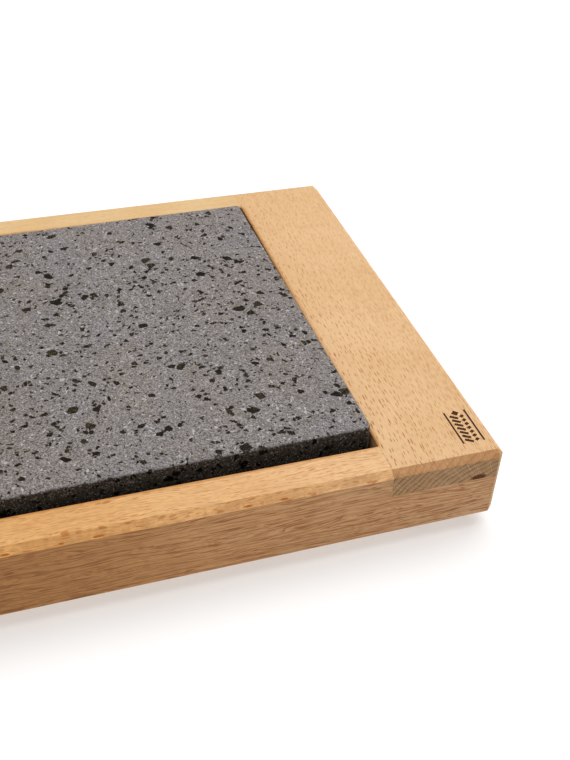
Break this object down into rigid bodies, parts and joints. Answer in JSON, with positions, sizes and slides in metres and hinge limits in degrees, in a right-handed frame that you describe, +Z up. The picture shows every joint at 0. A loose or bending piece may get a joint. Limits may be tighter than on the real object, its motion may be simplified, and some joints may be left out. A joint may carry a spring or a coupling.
{
  "type": "granite leather tooling slab in a wooden frame",
  "caption": "Loose granite slab lying proud in a low beech frame with wide lapped end rails, a hard flat base for stamping and punching leather.",
  "frame": {"origin": "on the bench under the middle of the frame, at the feet's undersides", "axes": "+X along the slab's length, to the right; +Y away from the user; +Z up out of the working top"},
  "size_m": [0.414, 0.25, 0.0503],
  "materials": {
    "granite": "honed, speckled with dark crystals",
    "beech_side": "sanded and oiled beech, grain along the rail",
    "beech_end": "sanded and oiled beech, grain across the frame",
    "beech_dowel": "fluted beech, end grain flush below",
    "plywood": "raw birch plywood",
    "cork": "fine agglomerated cork",
    "rubber": "matt black moulded rubber",
    "zinc_steel": "bright zinc plating"
  },
  "bodies": {
    "frame": {"front_rail": "beech_side", "back_rail": "beech_side", "left_end_rail": "beech_end", "right_end_rail": "beech_end", "base_panel": "plywood", "cork_liner": "cork", "base_screw_1": "zinc_steel", "base_screw_2": "zinc_steel", "base_screw_3": "zinc_steel", "base_screw_4": "zinc_steel", "base_screw_5": "zinc_steel", "base_screw_6": "zinc_steel", "base_screw_7": "zinc_steel", "base_screw_8": "zinc_steel", "base_screw_9": "zinc_steel", "base_screw_10": "zinc_steel", "corner_dowel_1": "beech_dowel", "corner_dowel_2": "beech_dowel", "corner_dowel_3": "beech_dowel", "corner_dowel_4": "beech_dowel", "corner_dowel_5": "beech_dowel", "corner_dowel_6": "beech_dowel", "corner_dowel_7": "beech_dowel", "corner_dowel_8": "beech_dowel", "foot_1": "rubber", "foot_2": "rubber", "foot_3": "rubber", "foot_4": "rubber", "foot_washer_1": "zinc_steel", "foot_washer_2": "zinc_steel", "foot_washer_3": "zinc_steel", "foot_washer_4": "zinc_steel", "foot_screw_1": "zinc_steel", "foot_screw_2": "zinc_steel", "foot_screw_3": "zinc_steel", "foot_screw_4": "zinc_steel"},
    "slab": {"granite_slab": "granite"}
  },
  "joints": [
    {"name": "slab_lift", "type": "slide", "parent": "frame", "child": "slab", "axis": [0, 0, 1], "range_m": [0, 0.06]}
  ]
}
